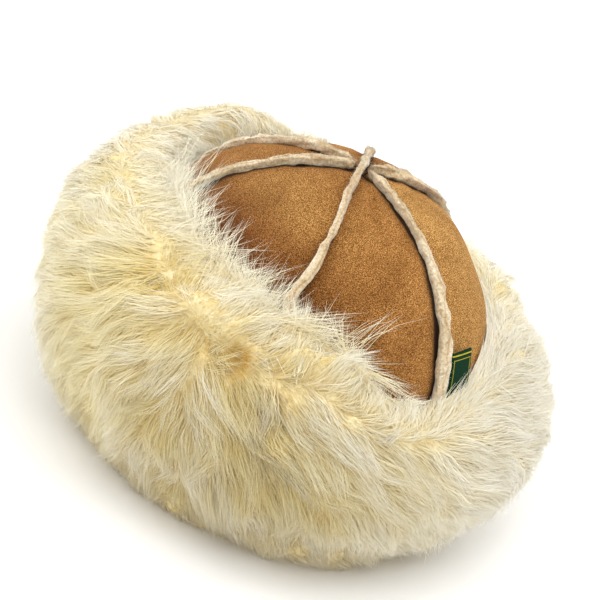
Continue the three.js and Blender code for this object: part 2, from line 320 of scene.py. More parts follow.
def noise(tree, scale, detail=2, roughness=0.5):
    place = add_node(tree, "ShaderNodeTexCoord")
    texture = add_node(tree, "ShaderNodeTexNoise", Scale=scale, Detail=detail, Roughness=roughness)
    tree.links.new(place.outputs["Object"], texture.inputs["Vector"])
    return texture.outputs["Fac"]


def ramp(tree, source, stops):
    node = add_node(tree, "ShaderNodeValToRGB")
    node.color_ramp.elements[0].position, node.color_ramp.elements[0].color = stops[0][0], (*stops[0][1], 1)
    node.color_ramp.elements[1].position, node.color_ramp.elements[1].color = stops[-1][0], (*stops[-1][1], 1)
    for position, colour in stops[1:-1]:
        node.color_ramp.elements.new(position).color = (*colour, 1)
    tree.links.new(source, node.inputs["Fac"])
    return node.outputs["Color"]


def blend_colours(tree, share, first, second, mode="MIX"):
    node = add_node(tree, "ShaderNodeMix", data_type="RGBA", blend_type=mode)
    for value, socket in ((share, node.inputs[0]), (first, node.inputs[6]), (second, node.inputs[7])):
        if isinstance(value, (tuple, float, int)):
            socket.default_value = (*value, 1) if isinstance(value, tuple) else value
        else:
            tree.links.new(value, socket)
    return node.outputs[2]


def attribute(tree, name):
    return add_node(tree, "ShaderNodeAttribute", attribute_name=name).outputs["Fac"]


def bump(tree, shader, height, distance, strength=1.0):
    node = add_node(tree, "ShaderNodeBump", Distance=distance, Strength=strength)
    tree.links.new(height, node.inputs["Height"])
    tree.links.new(node.outputs["Normal"], shader.inputs["Normal"])


suede = plain_material("tan_suede", (0.45, 0.22, 0.07), 0.95)
tree = suede.node_tree
shader = tree.nodes["Principled BSDF"]
shader.inputs["Specular IOR Level"].default_value = 0.15
shader.inputs["Sheen Weight"].default_value = 0.03
shader.inputs["Sheen Roughness"].default_value = 0.5
shader.inputs["Sheen Tint"].default_value = (1.0, 0.8, 0.55, 1)
nap = ramp(
    tree,
    noise(tree, 2100, 2, 0.7),
    [(0.365, (0.085, 0.027, 0.004)), (0.5, (0.33, 0.133, 0.028)), (0.635, (0.74, 0.38, 0.115))],
)
brushed = ramp(tree, noise(tree, 40, 5, 0.6), [(0.36, (0.84, 0.79, 0.72)), (0.64, (1.16, 1.18, 1.22))])
colour = blend_colours(tree, 1.0, nap, brushed, "MULTIPLY")
# painted shade: the suede darker in the dips beside the seams
seam_shade = ramp(tree, attribute(tree, "beside_seam"), [(0.0, (0.7, 0.64, 0.56)), (0.9, (1.0, 1.0, 1.0))])
colour = blend_colours(tree, 1.0, colour, seam_shade, "MULTIPLY")
# painted shade: the suede darkens just above the fleece's edge, most at the left, where the fur shades it
fleece_shade = ramp(tree, attribute(tree, "fleece_shade"), [(0.0, (1.0, 1.0, 1.0)), (1.0, (0.31, 0.165, 0.08))])
colour = blend_colours(tree, 1.0, colour, fleece_shade, "MULTIPLY")
# painted highlight: the suede paler and less saturated where light falls most, on the back and right panels
# and high on the left
painted_highlight = ramp(tree, attribute(tree, "painted_highlight"), [(0.0, (1.0, 1.0, 1.0)), (1.0, (1.22, 1.4, 1.52))])
colour = blend_colours(tree, 1.0, colour, painted_highlight, "MULTIPLY")
# painted shadow: a dark brown line in the crease at one side of each gore's seams, where the raised seam
# leans over
crease_form = [(0.0, (0.5,) * 3), (0.12, (1, 1, 1)), (0.26, (1, 1, 1)), (0.4, (0.2,) * 3), (0.6, (0, 0, 0))]
crease_shadow = ramp(tree, attribute(tree, "from_crease"), crease_form)
colour = blend_colours(tree, crease_shadow, colour, (0.03, 0.012, 0.004))
tree.links.new(colour, shader.inputs["Base Color"])
bump(tree, shader, noise(tree, 1500, 3, 0.7), 0.0009, 1.0)

clipped_wool = plain_material("clipped_wool_lining", (0.82, 0.7, 0.45), 0.95)
tree = clipped_wool.node_tree
shader = tree.nodes["Principled BSDF"]
curls = noise(tree, 330, 4, 0.7)
tree.links.new(
    ramp(tree, curls, [(0.35, (0.62, 0.45, 0.22)), (0.6, (0.9, 0.82, 0.6))]), shader.inputs["Base Color"]
)
bump(tree, shader, curls, 0.003, 1.0)

apex = np.array([crown_middle.x - apex_side, crown_middle.y + apex_back, widest_level + dome_height])
# distance from the apex in metres, and how much wider than in the model the seam's felted edge has spread
seam_spread = np.array(
    [(0, 1.35), (0.02, 1.3), (0.045, 1.0), (0.06, 1.15), (0.078, 1.75), (0.1, 1.7), (0.2, 1.5)]
)
seam_dip = 0.0007
seam_pucker = 0.0006
gore_swell = 0.0007
wool_curl = 0.0008
fold_rise = 0.0012
fold_dip = 0.002
thinnest_crease = 0.4
apex_fold_bearing = math.radians(66)
# how strong the painted shadow is in the crease beside the first and the second seam of each gore, from 0 to
# 1
creases = ((0.3, 1.0), (0.3, 0.8), (0.4, 0.8), (0.5, 0.8), (0.5, 0.5), (0.9, 0.15))
for number in range(6):
    gore = softened(f"crown_gore_{number + 1}", f"suede_gore_{number + 1}", 2, 1.0)
    points = read_points(gore.data)
    normals = read_normals(gore.data)
    bearing, _, out = crown_place(points)
    middle = points.mean(axis=0)
    middle_bearing = math.atan2(middle[1] - crown_middle.y, middle[0] - crown_middle.x)
    behind = [(middle_bearing - seam) % (2 * math.pi) for seam in seam_bearings]
    first = int(np.argmin(behind))
    off_first = seam_distance(points, first)
    off_second = -seam_distance(points, (first + 1) % 6)
    off_seam = np.minimum(np.abs(off_first), np.abs(off_second))
    _, _, way_out = crown_gauge(points)
    outer = (normals * way_out).sum(axis=1) > -0.2
    dip = -seam_dip * hill(off_seam, 0, 0.006)
    pucker = seam_pucker * drift(points, 0.013, 3) * np.exp(-off_seam / 0.012)
    swell = gore_swell * drift(points, 0.045, 4)
    off_fold = (bearing - apex_fold_bearing) * round_wall * out
    fold = fold_rise * hill(off_fold, 0.003, 0.003) - fold_dip * hill(off_fold, 0, 0.0018)
    fold *= hill(out, 0.3, 0.16)
    curls = wool_curl * drift(points, 0.006, 5)
    points += way_out * np.where(outer, dip + pucker + swell + fold, curls)[:, None]
    write_points(gore.data, bent(points))
    # the marks that the suede reads: the first two in centimetres, the others from 0 to 1
    deep_first, deep_second = creases[first]
    from_first = np.abs(off_first) * 100 / max(deep_first, thinnest_crease)
    from_second = np.abs(off_second) * 100 / max(deep_second, thinnest_crease)
    crease = np.where(deep_first > deep_second, from_first, from_second)
    crease /= np.interp(np.linalg.norm(points - apex, axis=1), seam_spread[:, 0], seam_spread[:, 1])
    mark(gore.data, "from_crease", np.clip(crease, 0, 2))
    mark(gore.data, "beside_seam", np.clip(off_seam * 100, 0, 1))
    # painted shade on the suede just above the fleece, most at the left
    edge_height = cuff_height * read_round(bearing, cuff_round, 1)
    turn = from_left(bearing)
    mark(gore.data, "fleece_shade", hill(points[:, 2], edge_height - 0.002, 0.031) * hill(turn, 12, 50))
    # painted highlight on the lit panels at the back and right, and high on the dome at the left
    highlight_behind = ease((turn - 88) / 25) * ease((178 - turn) / 25)
    highlight_above = hill(points[:, 2], 0.16, 0.009) * hill(turn, 5, 40)
    mark(gore.data, "painted_highlight", np.clip(highlight_behind + highlight_above, 0, 1))
    gore.data.materials.clear()
    gore.data.materials.append(suede)
    gore.data.materials.append(clipped_wool)
    for face in gore.data.polygons:
        face.material_index = 0 if all(outer[corner] for corner in face.vertices) else 1

# Raised seams: two raw edges of the skin turned out and sewn together, one long seam over the apex and four
# short ones that butt into it. Their cut edges are cream and felted, uneven in width, and a little hairy.
raw_edge = plain_material("raw_wool_edge", (0.7, 0.56, 0.38), 0.95)
tree = raw_edge.node_tree
shader = tree.nodes["Principled BSDF"]
shader.inputs["Specular IOR Level"].default_value = 0.15
shader.inputs["Sheen Weight"].default_value = 0.4
felt = ramp(
    tree,
    noise(tree, 700, 4, 0.75),
    [(0.34, (0.56, 0.4, 0.215)), (0.5, (0.84, 0.71, 0.49)), (0.66, (0.93, 0.87, 0.71))],
)
uneven = ramp(tree, noise(tree, 75, 3), [(0.36, (0.84, 0.77, 0.66)), (0.62, (1.08, 1.08, 1.08))])
colour = blend_colours(tree, 1.0, felt, uneven, "MULTIPLY")
joined = ramp(
    tree,
    attribute(tree, "from_join"),
    [(0.0, (0.66, 0.54, 0.4)), (0.14, (0.95, 0.9, 0.83)), (0.5, (1.0, 1.0, 1.0)), (1.0, (1.08, 1.1, 1.14))],
)
tree.links.new(blend_colours(tree, 1.0, colour, joined, "MULTIPLY"), shader.inputs["Base Color"])
bump(tree, shader, noise(tree, 420, 4, 0.75), 0.0016, 1.0)

short_seam_pull = 0.0042  # brings the ends of the short seams up to the long one
foot_sink = 0.0021
felt_lumps = 0.00045
felt_grain = 0.00028
join_width = 0.0028
seams = []
for node, bearings in (
    ("seam_long", (0, 3)),
    ("seam_back", (1,)),
    ("seam_right_back", (2,)),
    ("seam_front", (4,)),
    ("seam_left_front", (5,)),
):
    seam = softened(node, node.replace("seam", "raised_seam"), 3, 0)
    points = read_points(seam.data)
    normals = read_normals(seam.data)
    reach = np.linalg.norm(points - apex, axis=1)
    if node != "seam_long":
        points -= unit(points - apex) * (short_seam_pull * ease(1 - reach / 0.016))[:, None]
    turned = np.array([seam_distance(points, seam_number) for seam_number in bearings])
    aside = np.take_along_axis(turned, np.abs(turned).argmin(axis=0)[None], 0)[0]
    bearing, _, out = crown_place(points)
    sideways = np.stack([-np.sin(bearing), np.cos(bearing), np.zeros(len(points))], axis=1)
    wider = np.interp(reach, seam_spread[:, 0], seam_spread[:, 1]) - 1
    wander = 0.0006 * drift(points, 0.03, 13) * ease((reach - 0.012) / 0.03)
    held = ease((reach - 0.012) / 0.012)
    points += sideways * (aside * wider * held + wander)[:, None]
    size, _, way_out = crown_gauge(points)
    foot = ease((0.0026 - (size - 1) * round_wall) / 0.0018)
    points -= way_out * (foot_sink * foot)[:, None]
    rise = felt_lumps * drift(points, 0.009, 11) + felt_grain * drift(points, 0.003, 12)
    points += normals * rise[:, None]
    from_join = np.abs(aside + 0.0004 * drift(points, 0.012, 14)) / join_width
    mark(seam.data, "from_join", np.clip(from_join, 0, 1))
    write_points(seam.data, bent(points))
    seam.data.materials.clear()
    seam.data.materials.append(raw_edge)
    seams.append(seam)


def calm(bearing):
    """How evenly the wool lies, from 0 to 1: most at the left and the right."""
    turn = from_left(bearing)
    return hill(turn, -22, 34) + hill(turn, 125, 38)


def strand_mesh(name, strands, radius, normals, marks, material):
    """One mesh of closed three-sided hairs that taper to a point. Their normals are those given, so that they
    take light like the surface they lie on."""
    count, rings, _ = strands.shape
    rings -= 1
    draw = np.random.default_rng(count)
    ways = unit(np.diff(strands, axis=1))
    side = unit(np.cross(strands[:, -1] - strands[:, 0], draw.normal(size=(count, 3))))[:, None]
    side = unit(side - (side * ways).sum(axis=-1, keepdims=True) * ways)
    other = np.cross(ways, side)
    corners = 2 * math.pi * np.arange(3) / 3
    turn = np.cos(corners)[:, None] * side[:, :, None] + np.sin(corners)[:, None] * other[:, :, None]
    shell = strands[:, :rings, None] + radius[:, :rings, None, None] * turn
    points = np.concatenate([shell.reshape(count, 3 * rings, 3), strands[:, -1:]], axis=1)
    quads = [
        (3 * j + c, 3 * j + (c + 1) % 3, 3 * j + 3 + (c + 1) % 3, 3 * j + 3 + c)
        for j in range(rings - 1)
        for c in range(3)
    ]
    last = 3 * (rings - 1)
    tips = [(last + c, last + (c + 1) % 3, last + 3) for c in range(3)] + [(2, 1, 0)]
    corner_list = [corner for face in quads + tips for corner in face]
    first = (3 * rings + 1) * np.arange(count)[:, None]
    loops = (first + np.array(corner_list)).ravel()
    sizes = np.tile([4] * len(quads) + [3] * len(tips), count)
    mesh = bpy.data.meshes.new(name)
    mesh.vertices.add(points.shape[0] * points.shape[1])
    mesh.vertices.foreach_set("co", points.astype(np.float32).ravel())
    mesh.loops.add(len(loops))
    mesh.loops.foreach_set("vertex_index", loops.astype(np.int32))
    mesh.polygons.add(len(sizes))
    mesh.polygons.foreach_set("loop_start", np.concatenate([[0], np.cumsum(sizes)[:-1]]).astype(np.int32))
    mesh.update(calc_edges=True)
    mesh.polygons.foreach_set("use_smooth", np.ones(len(sizes), dtype=bool))
    ring_normals = unit(normals[:, :rings, None] + 0.25 * turn)
    ring_normals = ring_normals.reshape(count, 3 * rings, 3)
    vertex_normals = np.concatenate([ring_normals, unit(normals[:, -1:])], axis=1)
    mesh.normals_split_custom_set_from_vertices(vertex_normals.reshape(-1, 3))
    along = np.concatenate([np.repeat(np.arange(rings) / rings, 3), [1.0]])
    # where the wool lies evenly its darker roots, partly painted shade, don't show
    bearing = np.arctan2(strands[:, 0, 1] - crown_middle.y, strands[:, 0, 0] - crown_middle.x)
    hidden = 0.45 * calm(bearing)[:, None]
    mark(mesh, "along", (along * (1 - hidden) + hidden).ravel())
    for key, values in marks.items():
        mark(mesh, key, np.repeat(values, 3 * rings + 1))
    mesh.materials.append(material)
    piece = bpy.data.objects.new(name, mesh)
    bpy.context.scene.collection.objects.link(piece)
    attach(piece, "root")
    return piece


# Seam fuzz: the fine wool hairs that stand out all over the cut edges of the seams. They are short and loose,
# the cut ends of the clipped wool.
fuzz_share = 0.75  # hairs for each vertex of the seams' outer sides
fuzz_width = 0.00007
draw = np.random.default_rng(17)
roots, ways = [], []
for seam in seams:
    points = read_points(seam.data)
    normals = read_normals(seam.data)
    _, _, way_out = crown_gauge(points)
    facing = np.flatnonzero((normals * way_out).sum(axis=1) > -0.1)
    chosen = draw.choice(facing, int(len(facing) * fuzz_share), replace=False)
    roots.append(points[chosen] - 0.0002 * normals[chosen])
    ways.append(unit(normals[chosen] + 0.8 * draw.normal(size=(len(chosen), 3))))
roots, ways = np.concatenate(roots), np.concatenate(ways)
reach = draw.uniform(0.0009, 0.0028, len(roots))
hairs = np.stack([roots, roots + ways * reach[:, None]], axis=1)
thin = np.full((len(roots), 1), fuzz_width)
marks = {"from_join": np.full(len(roots), 0.8)}
strand_mesh("seam_fuzz", hairs, thin, np.stack([ways, ways], axis=1), marks, raw_edge)

# Label: a plain woven tab, folded double and caught in the back seam, with a thin yellow line woven in
# along its edges.
label_width = 0.02
label_length = 0.034


def sums(tree, operation, first, second=0.0):
    node = add_node(tree, "ShaderNodeMath", operation=operation)
    for value, socket in ((first, node.inputs[0]), (second, node.inputs[1])):
        if isinstance(value, float):
            socket.default_value = value
        else:
            tree.links.new(value, socket)
    return node.outputs[0]


tape = plain_material("woven_green_tape", (0.006, 0.035, 0.016), 0.85)
tree = tape.node_tree
shader = tree.nodes["Principled BSDF"]
shader.inputs["Specular IOR Level"].default_value = 0.1
from_side = sums(tree, "SUBTRACT", label_width / 2, sums(tree, "ABSOLUTE", attribute(tree, "label_across")))
from_end = sums(tree, "SUBTRACT", label_length / 2, sums(tree, "ABSOLUTE", attribute(tree, "label_up")))
from_edge = sums(tree, "MULTIPLY", sums(tree, "MINIMUM", from_side, from_end), 100.0)
green = (0.004, 0.032, 0.013)
thread = (0.5, 0.42, 0.03)
lines = ramp(
    tree,
    from_edge,
    [(0.0, green), (0.04, green), (0.055, thread), (0.11, thread), (0.125, green), (0.3, green)]
    + [(0.31, thread), (0.335, thread), (0.345, green), (1.0, green)],
)
weave = ramp(tree, noise(tree, 2600, 2, 0.8), [(0.35, (0.6, 0.6, 0.6)), (0.65, (1.3, 1.3, 1.3))])
tree.links.new(blend_colours(tree, 1.0, lines, weave, "MULTIPLY"), shader.inputs["Base Color"])
bump(tree, shader, noise(tree, 2200, 2, 0.8), 0.0003, 0.8)

label = softened("label", "woven_label", 2, 1.0)
points = read_points(label.data)
centre = (points.min(axis=0) + points.max(axis=0)) / 2
_, _, axes = np.linalg.svd(points - points.mean(axis=0), full_matrices=False)
up_axis = axes[0] * np.sign(axes[0][2])
across_axis = axes[1]
up, over = (points - centre) @ up_axis, (points - centre) @ across_axis
mark(label.data, "label_up", up - (up.max() + up.min()) / 2)
mark(label.data, "label_across", over - (over.max() + over.min()) / 2)
label.data.materials.clear()
label.data.materials.append(tape)

# Fleece cuff: a strip of long-wool sheepskin, sewn on at the rim and turned up. The wool parts along the
# middle of the roll: above it the locks run up over the suede, below it they hang down.
# out as a share of the reach, up as a share of the height there
cuff_section = np.array(
    [
        (-0.02, 0.0),
        (0.24, 0.08),
        (0.56, 0.22),
        (0.85, 0.4),
        (1.0, 0.58),
        (0.96, 0.73),
        (0.8, 0.87),
        (0.5, 0.96),
        (0.15, 1.0),
        (-0.2, 0.97),
        (-0.6, 0.84),
    ]
)


def cuff_point(bearing, row):
    low = np.clip(np.floor(row).astype(int), 0, len(cuff_section) - 2)
    share = (row - low)[..., None]
    section = cuff_section[low] * (1 - share) + cuff_section[low + 1] * share
    beyond = section[..., 0] * fleece_reach * read_round(bearing, cuff_round, 2)
    height = section[..., 1] * cuff_height * read_round(bearing, cuff_round, 1)
    x = crown_middle.x + (crown_breadth / 2 + beyond) * np.cos(bearing)
    y = crown_middle.y + (crown_length / 2 + beyond) * np.sin(bearing)
    return np.stack([x, y, height], axis=-1)


def cuff_ways(bearing, row):
    """Round the head, up the section and out of the fleece, as unit vectors."""
    step = 0.04
    round_head = unit(cuff_point(bearing + step, row) - cuff_point(bearing - step, row))
    upwards = unit(cuff_point(bearing, row + 4 * step) - cuff_point(bearing, row - 4 * step))
    outwards = unit(np.cross(round_head, upwards))
    return round_head, upwards, outwards


def spread_over_cuff(count, first_row, last_row, seed):
    """Even places over the fleece between two rows of its section, as bearings and rows."""
    bearings = np.radians(np.arange(0, 361, 2.0))
    rows = np.linspace(first_row, last_row, 60)
    grid = cuff_point(*np.meshgrid(bearings, rows, indexing="ij"))
    around = np.linalg.norm(np.diff(grid, axis=0), axis=-1)
    along = np.linalg.norm(np.diff(grid, axis=1), axis=-1)
    cells = around[:, :-1] * along[:-1]
    draw = np.random.default_rng(seed)
    start = draw.uniform(size=2)
    n = np.arange(1, count + 1)
    u = (start[0] + n * 0.7548776662) % 1
    v = (start[1] + n * 0.5698402910) % 1
    by_bearing = np.concatenate([[0], np.cumsum(cells.sum(axis=1))])
    bearing = np.interp(u * by_bearing[-1], by_bearing, bearings)
    cell = np.clip((np.degrees(bearing) / 2).astype(int), 0, len(cells) - 1)
    by_row = np.concatenate([np.zeros((len(cells), 1)), np.cumsum(cells, axis=1)], axis=1)
    row = np.empty(count)
    for k in np.unique(cell):
        here = cell == k
        row[here] = np.interp(v[here] * by_row[k, -1], by_row[k], rows)
    jitter = draw.normal(size=(2, count))
    return bearing + 0.012 * jitter[0], np.clip(row + 0.08 * jitter[1], first_row, last_row)


# Which way the wool lies, by bearing in degrees. Angles are on the fleece: 0 is round the head towards the
# next bearing, 90 is up the section. The wool low on the cuff, half way up, and above the parting.
lie_low = np.array(
    [(0, -118), (14, -110), (37, -76), (63, -66), (80, -50), (105, -43), (150, -55), (200, -85), (250, -100)]
    + [(300, -115), (360, -118)]
)
lie_half = np.array(
    [(0, -146), (15, -125), (30, -72), (42, -45), (60, -33), (90, -26), (135, -28), (180, -55), (225, -85)]
    + [(270, -112), (320, -140), (345, -148), (360, -146)]
)
lie_above = np.array(
    [(0, 98), (12, 92), (28, 85), (43, 64), (63, 80), (83, 84), (105, 20), (130, 10), (180, 45), (225, 85)]
    + [(270, 105), (300, 112), (330, 112), (345, 105), (360, 98)]
)
# the row of the section where the wool parts
parting = np.array(
    [(0, 7.7), (19, 6.8), (40, 6.5), (77, 6.6), (110, 7.5), (150, 7.9), (220, 8.0), (300, 7.8), (345, 7.7)]
    + [(360, 7.7)]
)
low_row = 2.4
half_row = 4.6


def comb(bearing, row):
    """The angle the wool lies at, and whether it is above the parting, from 0 to 1."""
    part = read_round(bearing, parting, 1)
    above = ease((row - part) / 0.9 + 0.5)
    half = ease((row - low_row) / (half_row - low_row))
    below = read_round(bearing, lie_low, 1) * (1 - half) + read_round(bearing, lie_half, 1) * half
    below, over = np.radians(below), np.radians(read_round(bearing, lie_above, 1))
    rise = (1 - above) * np.sin(below) + above * np.sin(over)
    sideways = (1 - above) * np.cos(below) + above * np.cos(over)
    return np.arctan2(rise, sideways), above


# a whorl in the wool at the left of the back, with a small hollow in its middle
whorl_bearing = np.radians(36.0)
whorl_row = np.array(6.3)
whorl_place = cuff_point(whorl_bearing, whorl_row)
whorl_hole = 0.0017
whorl_depth = 0.005


def near_whorl(point, size):
    """1 in the middle of the whorl, fading to 0 away from it."""
    return np.exp(-((point - whorl_place) ** 2).sum(axis=-1) / size**2)


def clear_of_whorl(strands):
    """Whether each hair leaves the small hole in the middle of the whorl free."""
    _, _, outwards = cuff_ways(whorl_bearing, whorl_row)
    span = along_course(strands, np.tile(np.linspace(0, 1, 8), (len(strands), 1))) - whorl_place
    depth = span @ outwards
    aside = np.linalg.norm(span - depth[..., None] * outwards, axis=-1)
    return ((aside > whorl_hole) | (np.abs(depth) > 0.03)).all(axis=1)


broad_lumps = 0.0024
small_lumps = 0.0017


def lumps(point):
    """How far the fleece stands out in soft lumps, in metres. It is smoothest at the left and the right."""
    turn = np.degrees(np.arctan2(point[..., 1] - crown_middle.y, point[..., 0] - crown_middle.x))
    smooth = hill(turn, -15, 32) + hill(turn, 125, 35)
    rough = hill(turn, 50, 34)
    waves = broad_lumps * drift(point, 0.042, 51) + small_lumps * (1 + 0.4 * rough) * drift(point, 0.017, 52)
    return waves * (1 - 0.45 * smooth + 0.35 * rough) - whorl_depth * near_whorl(point, 0.006)


# how far the wool stands out from the fleece's middle form in metres, by bearing
fullness = np.array(
    [(0, 0.0072), (40, 0.0042), (90, 0.0035), (155, 0.0085), (215, 0.007), (250, 0.0085), (264, 0.0045)]
    + [(282, -0.0005), (302, -0.0005), (326, 0.0045), (345, 0.0095), (360, 0.0072)]
)
crest_fill = 0.008


def wool_top(bearing, row):
    """The fleece's outer form, with its soft lumps. The crest in front is filled up to the crown."""
    _, _, outwards = cuff_ways(bearing, row)
    point = cuff_point(bearing, row)
    filled = crest_fill * ease((row - 8.0) / 1.3) * hill(from_left(bearing), -108, 55)
    return point + outwards * (read_round(bearing, fullness, 1) + lumps(point) + filled)[..., None], outwards


def lumpy_normals(point, outwards):
    """The way out of the fleece with its lumps, which dip and rise against the smooth form."""
    step = 0.002
    here = lumps(point)
    slopes = np.stack([(lumps(point + step * axis) - here) / step for axis in np.eye(3)], axis=-1)
    return unit(outwards - 0.8 * slopes)


course_steps = 6
small_turn = 0.01
small_climb = 0.05


def courses(bearing, row, depth, length, lift, stray, curl, clearance):
    """Paths that hairs follow: out of the fleece from that depth, then along it the way the wool lies. Past
    its lower edge they hang, and past its upper edge they run on over the suede."""
    points = []
    normals = []
    bearing = bearing.copy()
    row = row.copy()
    heading = straight = None
    for step in range(course_steps + 1):
        share = step / course_steps
        inside = np.clip(row, 0, 9.9)
        top, outwards = wool_top(bearing, inside)
        point = top + outwards * (-depth * (1 - share) ** 1.7 + lift * share**1.6)[:, None]
        angle, _ = comb(bearing, inside)
        angle = angle + stray + curl * (share - 0.3)
        round_head, upwards, _ = cuff_ways(bearing, inside)
        way = np.cos(angle)[:, None] * round_head + np.sin(angle)[:, None] * upwards
        hang = 0.7 * ease((2.8 - row) / 1.6)[:, None]
        beyond = ease((row - 8.7) / 0.5)[:, None]
        if step:
            free = np.maximum(hang, beyond)
            point = point * (1 - free) + straight * free
            way = unit(way * (1 - beyond) + heading * beyond)
        point = off_crown(point, clearance)
        size, _, way_out = crown_gauge(point)
        near = ease(1 - (size - 1 - clearance / round_wall) / 0.06)
        inward = np.minimum((way * way_out).sum(axis=-1), 0) * near
        way = unit(way - way_out * inward[:, None])
        points.append(point)
        lumpy = lumpy_normals(cuff_point(bearing, inside), outwards)
        normals.append(unit(lumpy * (1 - beyond) + way_out * beyond))
        heading = way
        stride = length / course_steps
        drop = np.array([0, 0, 0.4]) * hang
        straight = point + stride[:, None] * unit(way + 0.08 * outwards * (1 - beyond) - drop)
        beside = cuff_point(bearing + small_turn, inside) - cuff_point(bearing - small_turn, inside)
        above = cuff_point(bearing, inside + small_climb) - cuff_point(bearing, inside - small_climb)
        bearing = bearing + np.cos(angle) * stride / (np.linalg.norm(beside, axis=-1) / (2 * small_turn))
        row = row + np.sin(angle) * stride / (np.linalg.norm(above, axis=-1) / (2 * small_climb))
    return np.stack(points, axis=1), np.stack(normals, axis=1)


def along_course(course, share):
    """Points at shares of each course, for shares of shape (courses, points)."""
    steps = course.shape[1] - 1
    place = np.clip(share, 0, 1) * steps
    low = np.minimum(place.astype(int), steps - 1)
    part = (place - low)[..., None]
    first = np.take_along_axis(course, low[..., None], axis=1)
    second = np.take_along_axis(course, low[..., None] + 1, axis=1)
    return first * (1 - part) + second * part


def nearest(points, places):
    """The number of the nearest place to each point."""
    found = [
        ((places**2).sum(axis=1) - 2 * points[start : start + 8000] @ places.T).argmin(axis=1)
        for start in range(0, len(points), 8000)
    ]
    return np.concatenate(found)


crown_gap = 0.0012  # between the wool and the suede
floor_gap = 0.0008


def locks_of_hair(
    bearing,
    row,
    depth,
    length,
    lift,
    stray,
    curl,
    pull,
    per_lock,
    spread,
    gather,
    width,
    segments,
    draw,
    bend,
):
    """Hairs in locks: those of a lock start apart, run the same way and gather towards its tip. Locks lean
    to the nearest of the big tufts, by the share named pull at the tip, and single hairs bend by a share of
    their length. The last two results are each hair's lock, and how far out in it the hair grows."""
    clearance = crown_gap + 0.0016 * np.abs(draw.normal(size=len(bearing)))
    course, normal = courses(bearing, row, depth, length, lift, stray, curl, clearance)
    tuft = nearest(course[:, 0], tufts[:, 0])
    leaning = np.broadcast_to(pull, len(bearing))[:, None] * np.linspace(0, 1, course_steps + 1) ** 1.2
    course += leaning[..., None] * (tufts[tuft] - course)
    count = len(bearing) * per_lock
    owner = np.repeat(np.arange(len(bearing)), per_lock)
    round_head, upwards, _ = (way[owner] for way in cuff_ways(bearing, row))
    across = draw.normal(size=(count, 2))
    offset = spread * (across[:, :1] * round_head + across[:, 1:] * upwards)
    fringe = np.hypot(across[:, 0], across[:, 1]) - 1.25
    along = np.linspace(0, 1, segments + 1)
    reach = draw.uniform(0.68, 1.0, count)[:, None] * along
    base = along_course(course[owner], reach)
    normals = along_course(normal[owner], reach)
    loose = draw.uniform(size=count) < 0.12
    hold = np.where(loose[:, None], 1 + 0.8 * along, 1 - gather * along)
    bow = bend * length[owner][:, None] * draw.normal(size=(count, 3))
    strands = base + hold[..., None] * offset[:, None] + (along**1.5)[None, :, None] * bow[:, None]
    strands -= (0.0007 * np.clip(fringe, -1, 1.5)[:, None] * along)[..., None] * normals
    strands[..., 2] = np.maximum(strands[..., 2], floor_gap)
    strands = off_crown(strands, crown_gap)
    radius = (width * draw.uniform(0.7, 1.25, count))[:, None] * np.linspace(1.0, 0.7, segments)
    clear = clear_of_whorl(strands)
    return strands[clear], radius[clear], normals[clear], owner[clear], fringe[clear]


wool = plain_material("cream_fleece", (0.85, 0.77, 0.58), 0.85)
tree = wool.node_tree
shader = tree.nodes["Principled BSDF"]
shader.inputs["Specular IOR Level"].default_value = 0.15
# painted light: a faint warm glow of the wool itself, standing in for light that passes through the hair
shader.inputs["Emission Color"].default_value = (1.0, 0.74, 0.32, 1)
shader.inputs["Emission Strength"].default_value = 0.13
shader.inputs["Sheen Weight"].default_value = 0.4
shader.inputs["Sheen Roughness"].default_value = 0.7
shader.inputs["Sheen Tint"].default_value = (1.0, 0.95, 0.8, 1)
# each hair darkens to ochre towards its root: partly the wool's own colour near the skin, partly painted
# shade deep in the fleece
pale = ramp(
    tree,
    attribute(tree, "along"),
    [(0.0, (0.74, 0.56, 0.24)), (0.4, (0.94, 0.87, 0.64)), (0.75, (0.98, 0.96, 0.85))]
    + [(1.0, (0.99, 0.98, 0.92))],
)
yellow = ramp(
    tree,
    attribute(tree, "along"),
    [(0.0, (0.56, 0.34, 0.06)), (0.45, (0.84, 0.66, 0.24)), (0.78, (0.96, 0.86, 0.48))]
    + [(1.0, (0.98, 0.94, 0.7))],
)
colour = blend_colours(tree, attribute(tree, "warm"), pale, yellow)
# painted shade: the wool greyer and darker low down, at the right and in hollows
grey_shade = ramp(tree, attribute(tree, "grey_shade"), [(0.0, (0.94, 0.95, 0.97)), (1.0, (0.6, 0.59, 0.57))])
tree.links.new(blend_colours(tree, 1.0, colour, grey_shade, "MULTIPLY"), shader.inputs["Base Color"])


def warmth(bearing, row):
    """How yellow the wool is, from 0 to 1: most on the left, and low at the back; whitest at the right. The
    hollows between the lumps are painted deeper yellow, as shade.
    """
    point = cuff_point(bearing, row)
    turn = from_left(bearing)
    left = hill(turn, 3, 30) * hill(row, 4.6, 2.2)
    behind = hill(turn, 56, 30) * hill(row, 4.4, 1.6)
    white = hill(turn, 108, 46)
    patches = 0.5 + 0.5 * drift(point, 0.05, 61)
    # painted shade: yellower in the hollows between the lumps
    hollow = np.clip(-lumps(point) / 0.003, -0.6, 1)
    yellow = 0.3 + (0.5 * left + 0.72 * behind) * (0.5 + 0.8 * patches) + (0.4 - 0.2 * white) * hollow
    crest = hill(turn, -95, 45) * ease((row - 6.3) / 1.5)
    side = 0.2 * hill(turn, -22, 34)
    return np.clip(yellow - 0.34 * white + 0.5 * near_whorl(point, 0.0065) - 0.4 * crest + side, 0, 1)


